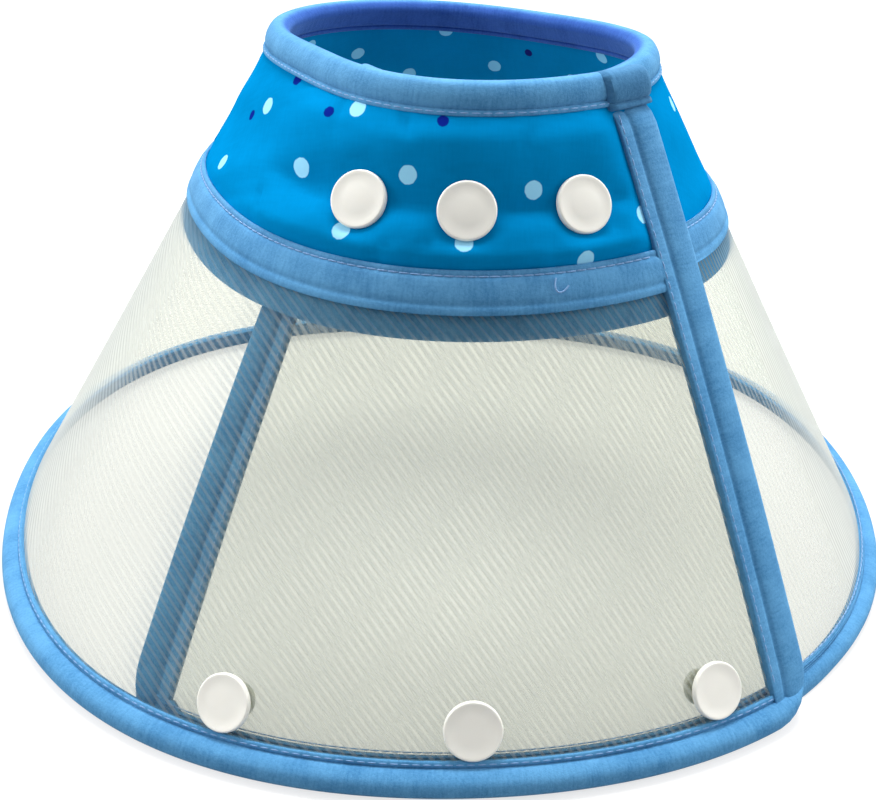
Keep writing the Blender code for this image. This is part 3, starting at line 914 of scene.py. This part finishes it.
def neck_band(side):
    cover = slab(f"neck_cover_{side.name}", side, EDGE_INSET, BAND_END, 0.0, COVER, pillow, PRINT_CLOTH,
                 nodes_named(side, "neck_cover"), rows=36)
    padding = slab(f"neck_padding_{side.name}", side, EDGE_INSET + 1.0 * MM, BAND_END - 0.5 * MM,
                   -COVER - GAP, PADDING, padding_shape, PADDING_FOAM, nodes_named(side, "neck_padding"),
                   spacing=4.0 * MM, rows=12)
    lining = slab(f"neck_lining_{side.name}", side, EDGE_INSET, BAND_END, -COVER - PADDING - 2 * GAP, LINING,
                  lining_shape, LINING_CLOTH, nodes_named(side, "neck_lining"), spacing=2.4 * MM, rows=20)


def neck_tape(side):
    strip(f"neck_tape_{side.name}", side, rolled_profile(NECK_TAPE, BAND, NECK_BULGE),
          nodes_named(side, "neck_binding"), material=NECK_TAPE_CLOTH)
    girth_stitching(f"neck_tape_{side.name}_stitching", side, NECK_TAPE - 0.7 * MM, 0.72 * MM, 1.0 * MM)


def seam_tapes(side):
    outer_seam_tape(side)
    inner_seam_tape(side)
    girth_stitching(f"seam_tape_{side.name}_stitching", side, SEAM_TOP + 1.3 * MM, 0.85 * MM, END_TAPE)


def outer_seam_tape(side):
    """The tape over the seam outside: a stitched upper edge, a full middle and a fold near its lower edge."""
    bottom = SEAM_TOP + OUTER_SEAM_TAPE
    fold = bottom - 2.2 * MM
    face = [(SEAM_TOP, 0.15 * MM), (SEAM_TOP, 0.75 * MM), (SEAM_TOP + 0.7 * MM, 0.95 * MM),
            (SEAM_TOP + 1.4 * MM, 0.8 * MM), (SEAM_TOP + 2.6 * MM, 1.3 * MM), (fold - 1.2 * MM, 1.25 * MM),
            (fold, 0.85 * MM), (fold + 1.0 * MM, 1.05 * MM), (bottom, 0.8 * MM), (bottom, 0.25 * MM)]
    back = [(bottom - 1.0 * MM, 0.12 * MM), (SEAM_TOP + 1.0 * MM, 0.12 * MM)]
    strip(f"seam_tape_outer_{side.name}", side, rounded(face) + back, nodes_named(side, "seam_binding_outer"),
          inset=END_TAPE - 1.5 * MM)


def inner_seam_tape(side):
    """The tape over the seam inside, which steps from the thick band down to the film."""
    band_face = -BAND - GAP
    film_face = -FILM - GAP
    end = SEAM_TOP + INNER_SEAM_TAPE
    step = FILM_START + GAP
    profile = [(SEAM_TOP, band_face), (step, band_face), (step + SEAM_STEP, film_face),
               (end - 0.8 * MM, film_face), (end, film_face - 0.4 * TAPE), (end - 0.4 * MM, film_face - TAPE),
               (step + SEAM_STEP + GAP, film_face - TAPE), (step + GAP, band_face - TAPE),
               (SEAM_TOP + 0.5 * MM, band_face - TAPE), (SEAM_TOP, band_face - 0.5 * TAPE)]
    strip(f"seam_tape_inner_{side.name}", side, profile, nodes_named(side, "seam_binding_inner"),
          inset=END_TAPE - 1.5 * MM)


def film(side):
    piece = film_sheet(side, nodes_named(side, "panel"))


def rim_tape(side):
    strip(f"rim_tape_{side.name}", side, rolled_profile(RIM_TAPE, FILM, RIM_BULGE),
          nodes_named(side, "rim_binding"), from_rim=True)
    girth_stitching(f"rim_tape_{side.name}_stitching", side, SLANT - RIM_TAPE + 0.7 * MM, 0.72 * MM, END_TAPE)


def end_tape(side):
    lift = END_LIFT if side is LEFT else 0.0
    end_strip(side, lift, [f"{side.flap}_end_binding"])
    end_stitching(f"{side.flap}_end_tape_stitching", side, END_TAPE - 0.7 * MM, 0.72 * MM + lift)


def neck_tab():
    """The folded end of the neck tape, a squared sleeve over the top of the outer end."""
    profile = rolled_profile(NECK_TAPE + 1.2 * MM, BAND, NECK_BULGE)
    travelled = along_profile(profile)
    rows, places = [], []
    for index in range(TAB_STEPS + 1):
        share = index / TAB_STEPS
        inset = mix(TAB_WIDTH, -TAB_OVERHANG, share)
        puff = smooth(min(share, 1.0 - share) * TAB_WIDTH, -0.2 * MM, 1.0 * MM)
        row, place = [], []
        for (slant, height), over in zip(profile, travelled):
            azimuth = LEFT.end_azimuth(slant, inset)
            extra = TAB_LIFT if height > -0.5 * BAND else TAB_BACK_LIFT
            away = (height + 0.5 * BAND) * (1.0 + TAB_PUFF * puff) + extra * puff
            lower = slant - 0.35 * MM * (1.0 - puff) * (1.0 if slant > 1 * MM else -1.0)
            row.append(cone_point(azimuth, lower, away - 0.5 * BAND))
            place.append((radians(azimuth) * NECK_RADIUS, over))
        rows.append(row)
        places.append(place)
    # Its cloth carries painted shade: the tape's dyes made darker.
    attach(grid_piece("neck_tape_tab", rows, places, TAB_PAINTED_SHADE_CLOTH), "outer_flap")


def turned(name, centre, axis, profile, stands_for, body, closed=False):
    """A profile of radius and height turned round an axis."""
    mesh_data = bmesh.new()
    side = axis.orthogonal().normalized()
    other = axis.cross(side)
    rings = []
    for radius, height in profile:
        middle = centre + axis * height
        if radius == 0.0:
            rings.append([mesh_data.verts.new(middle)])
        else:
            rings.append(ring_of(mesh_data, middle, side, other, radius, TURN_SEGMENTS))
    pairs = list(zip(rings, rings[1:])) + ([(rings[-1], rings[0])] if closed else [])
    for ring, following in pairs:
        for index in range(TURN_SEGMENTS):
            after = (index + 1) % TURN_SEGMENTS
            corners = [ring[index % len(ring)], ring[after % len(ring)],
                       following[after % len(following)], following[index % len(following)]]
            mesh_data.faces.new(list(dict.fromkeys(corners)))
    bmesh.ops.recalc_face_normals(mesh_data, faces=mesh_data.faces)
    piece = new_piece(name, mesh_data, SNAP_WHITE, stands_for)
    piece.data.set_sharp_from_angle(angle=SHARP_TURNED_EDGE)
    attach(piece, body)


def arc(radius, height, size, start, end, steps=6):
    """Points of a rounded edge about a centre at a radius and height, between two angles in degrees."""
    return [(radius + size * cos(radians(mix(start, end, index / steps))),
             height + size * sin(radians(mix(start, end, index / steps)))) for index in range(steps + 1)]


def cap_profile(radius, post_end, seat, way, dome, edge):
    """A post, a flat underside, a rounded edge and a dished face, growing one way or the other."""
    face = seat + way * CAP_HEIGHT
    rounded_edge = [(across, face - way * edge + way * up)
                    for across, up in arc(radius - edge, 0.0, edge, 0.0, 84.0)]
    dish = face - way * CAP_DISH
    hills = [(share * (radius - edge - CAP_LIP), dish + way * dome * (1.0 - share ** 2))
             for share in (1.0, 0.6, 0.35, 0.15)]
    return ([(0.0, post_end), (POST_RADIUS, post_end), (POST_RADIUS, seat), (radius - 0.2 * MM, seat),
             (radius, seat + way * 0.25 * MM)] + rounded_edge + hills + [(0.0, dish + way * dome)])


def socket_profile(top, bottom):
    """A ring with soft outer edges and a lead-in round its bore."""
    middle = SOCKET_RADIUS - SOFT_EDGE
    return ([(SOCKET_BORE, top)] + arc(middle, top - SOFT_EDGE, SOFT_EDGE, 90.0, 0.0, 3)
            + arc(middle, bottom + SOFT_EDGE, SOFT_EDGE, 0.0, -90.0, 3)
            + [(SOCKET_BORE + 0.9 * MM, bottom), (SOCKET_BORE + 0.7 * MM, bottom - 0.12 * MM),
               (SOCKET_BORE, bottom)])


def stud_profile(top, bottom, head_end):
    """A flange with soft edges, and a head that is wider than its neck."""
    middle = STUD_RADIUS - SOFT_EDGE
    neck = STUD_HEAD_RADIUS - 0.15 * MM
    return ([(0.0, bottom)] + arc(middle, bottom + SOFT_EDGE, SOFT_EDGE, -90.0, 0.0, 3)
            + arc(middle, top - SOFT_EDGE, SOFT_EDGE, 0.0, 90.0, 3)
            + [(neck, top), (neck, mix(top, head_end, 0.4)), (STUD_HEAD_RADIUS, mix(top, head_end, 0.7)),
               (STUD_HEAD_RADIUS - 0.3 * MM, head_end), (0.0, head_end)])


def snap(name, azimuth, slant, sheet, dome, edge):
    """A cap and a socket on the outer flap, and a stud and a back cap on the inner flap, all on one axis."""
    centre = cone_point(azimuth + FRONT, slant, 0.0)
    axis = outward(azimuth)
    socket_top = -sheet - HOLLOW_CLEARANCE
    socket_bottom = socket_top - SOCKET_HEIGHT
    stud_top = socket_bottom - GAP
    stud_bottom = stud_top - STUD_FLANGE
    post_end = socket_top - 0.1 * MM
    back_seat = -sheet - SNAP_SPACE - sheet - HOLLOW_CLEARANCE - 0.1 * MM
    cap = cap_profile(CAP_RADIUS, post_end, 0.05 * MM, 1.0, dome, edge)
    socket = socket_profile(socket_top, socket_bottom)
    stud = stud_profile(stud_top, stud_bottom, post_end - GAP)
    back_cap = cap_profile(BACK_CAP_RADIUS, stud_bottom - GAP, back_seat, -1.0, 0.0, edge)
    turned(name + "_outer_cap", centre, axis, cap, [name + "_cap"], "outer_flap")
    turned(name + "_ring_socket", centre, axis, socket, [name + "_socket"], "outer_flap", closed=True)
    turned(name + "_post_stud", centre, axis, stud, [name + "_stud"], "inner_flap")
    turned(name + "_inner_cap", centre, axis, back_cap, [name + "_back_cap"], "inner_flap")


def loose_thread():
    """A short end of thread that stands up from the seam tape like a hook."""
    azimuth, slant, start = 17.6 + FRONT, SEAM_TOP + 4.6 * MM, 1.4 * MM
    curve = bpy.data.curves.new("loose_thread", "CURVE")
    curve.dimensions = "3D"
    curve.bevel_depth = THREAD
    curve.bevel_resolution = 2
    line = curve.splines.new("NURBS")
    spots = [(-0.9, -2.2, 0.5), (-1.5, -0.6, 1.0), (-1.2, 0.9, 1.1), (-0.1, 1.2, 0.7), (1.0, 0.6, 0.9),
             (1.7, -0.3, 1.3)]
    line.points.add(len(spots) - 1)
    for point, (across, down, up) in zip(line.points, spots):
        aside = azimuth + degrees(across * MM / girth_radius(slant))
        point.co = (*cone_point(aside, slant + down * MM, start + up * 0.4 * MM), 1.0)
    line.use_endpoint_u = True
    line.order_u = 4
    curve.materials.append(THREAD_BLUE)
    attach(new_object("loose_thread", curve), "outer_flap")


def collar():
    for side in (LEFT, RIGHT):
        neck_band(side)
        neck_tape(side)
        seam_tapes(side)
        rim_tape(side)
        film(side)
        end_tape(side)
    neck_tab()
    for place, (neck, rim) in SNAP_COLUMNS.items():
        snap(f"neck_snap_{place}", neck, NECK_SNAP_SLANT, BAND, CAP_DOME, NECK_CAP_EDGE)
        snap(f"rim_snap_{place}", rim, RIM_SNAP_SLANT, FILM, 0.0, RIM_CAP_EDGE)
    loose_thread()


# ---- studio


def floor():
    """A pale floor. It glows a little, and more to the camera and through the film, for an even ground."""
    mesh_data = bmesh.new()
    bmesh.ops.create_circle(mesh_data, cap_ends=True, segments=96, radius=FLOOR_RADIUS)
    mesh = new_mesh("floor", mesh_data)
    ground = new_object("floor", mesh)
    ground.location = (0.0, 0.0, -0.2 * MM)
    material, tree, output = new_material("floor")
    paint = node(tree, "ShaderNodeBsdfDiffuse", {"Color": (0.3, 0.3, 0.3, 1.0)})
    path = node(tree, "ShaderNodeLightPath").outputs
    seen = math(tree, "ADD", math(tree, "MULTIPLY", path["Is Camera Ray"], GLOW_TO_CAMERA), FLOOR_GLOW)
    strength = math(tree, "ADD", math(tree, "MULTIPLY", path["Is Transmission Ray"], GLOW_THROUGH_FILM), seen)
    glow = node(tree, "ShaderNodeEmission", {"Color": (1.0, 1.0, 1.0, 1.0), "Strength": strength})
    both = node(tree, "ShaderNodeAddShader", {0: paint.outputs[0], 1: glow.outputs[0]})
    tree.links.new(both.outputs[0], output.inputs["Surface"])
    mesh.materials.append(material)


def world():
    """A room that looks white, and gives more light from above, the sides and behind than from the front."""
    made = bpy.data.worlds.new("studio")
    bpy.context.scene.world = made
    made.use_nodes = True
    tree = made.node_tree
    tree.nodes.clear()
    output = tree.nodes.new("ShaderNodeOutputWorld")
    way = node(tree, "ShaderNodeSeparateXYZ", {0: node(tree, "ShaderNodeTexCoord").outputs["Generated"]})
    sides = math(tree, "POWER", math(tree, "ABSOLUTE", way.outputs["X"]), 2.0)
    behind = mapped(tree, way.outputs["Y"], -0.4, 1.0, 0.07, 0.33)
    above = mapped(tree, way.outputs["Z"], 0.1, 1.0, 0.0, 0.55)
    lit = math(tree, "ADD", math(tree, "MULTIPLY", sides, 0.60), math(tree, "ADD", behind, above))
    strength = math(tree, "MAXIMUM", lit, node(tree, "ShaderNodeLightPath").outputs["Is Camera Ray"])
    light = node(tree, "ShaderNodeBackground", {"Color": (1.0, 1.0, 1.0, 1.0), "Strength": strength})
    tree.links.new(light.outputs[0], output.inputs["Surface"])


def area_light(name, place, size, power, aim=Vector((0.0, 0.0, 0.06))):
    data = bpy.data.lights.new(name, "AREA")
    data.shape = "RECTANGLE"
    data.size, data.size_y = size
    data.energy = power
    lamp = new_object(name, data)
    lamp.location = place
    lamp.rotation_mode = "QUATERNION"
    lamp.rotation_quaternion = (aim - Vector(place)).to_track_quat("-Z", "Y")


def lights():
    area_light("left_softbox", (-0.90, 0.05, 0.50), (0.7, 0.7), 6.5)
    area_light("right_softbox", (0.90, 0.10, 0.50), (0.7, 0.7), 6.0)
    area_light("top_softbox", (0.0, 0.30, 0.95), (0.6, 0.4), 13.0)


def camera():
    """The view from in front and above, with a slight roll and turn."""
    data = bpy.data.cameras.new("camera")
    data.lens = FOCAL_LENGTH
    data.sensor_width = SENSOR_WIDTH
    data.clip_start = 0.01
    data.clip_end = 50.0
    view = new_object("camera", data)
    pitch = Matrix.Rotation(radians(90.0 - CAMERA_DOWN), 4, "X")
    roll = Matrix.Rotation(radians(CAMERA_ROLL), 4, "Z")
    turn = Matrix.Rotation(radians(CAMERA_TURN), 4, "Y")
    view.matrix_world = Matrix.Translation(CAMERA_PLACE) @ pitch @ roll @ turn
    bpy.context.scene.camera = view


collar()
floor()
world()
lights()
camera()
bpy.context.scene.view_settings.view_transform = "Standard"
